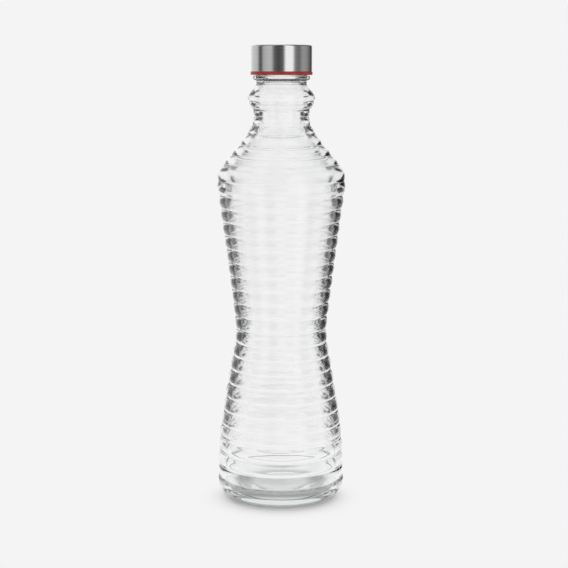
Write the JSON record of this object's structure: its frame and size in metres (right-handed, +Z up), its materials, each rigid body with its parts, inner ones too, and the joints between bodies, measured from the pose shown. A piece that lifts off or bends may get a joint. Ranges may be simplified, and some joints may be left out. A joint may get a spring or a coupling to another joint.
{
  "type": "glass water bottle",
  "caption": "Clear glass water bottle with a waisted, horizontally ribbed body, a bulged neck and a screw-on steel cap with a coloured silicone ring.",
  "frame": {"origin": "centre of the foot ring, on the surface that the bottle stands on", "axes": "+Z up along the bottle's axis, towards the cap; X and Y are arbitrary, because the body is round"},
  "size_m": [0.0896, 0.0896, 0.319],
  "materials": {
    "clear_glass": "clear, fire-polished",
    "brushed_steel": "brushed around the cap",
    "liner_plastic": "moulded, satin",
    "ring_silicone": "smooth red silicone",
    "washer_silicone": "smooth translucent silicone"
  },
  "bodies": {
    "bottle": {"glass_bottle": "clear_glass"},
    "washer": {"cap_washer": "washer_silicone"},
    "cap": {"cap_shell": "brushed_steel", "cap_liner": "liner_plastic", "cap_ring": "ring_silicone"}
  },
  "joints": [
    {"name": "cap_lift", "type": "slide", "parent": "bottle", "child": "washer", "axis": [0, 0, 1], "range_m": [0, 0.0179]},
    {"name": "cap_turn", "type": "hinge", "parent": "washer", "child": "cap", "pos_m": [0, 0, 0.3], "axis": [0, 0, 1], "range_deg": [0, 1530]}
  ],
  "couplings": [
    {"joint": "cap_lift", "follows": "cap_turn", "m_per_rad": 0.00066845}
  ]
}
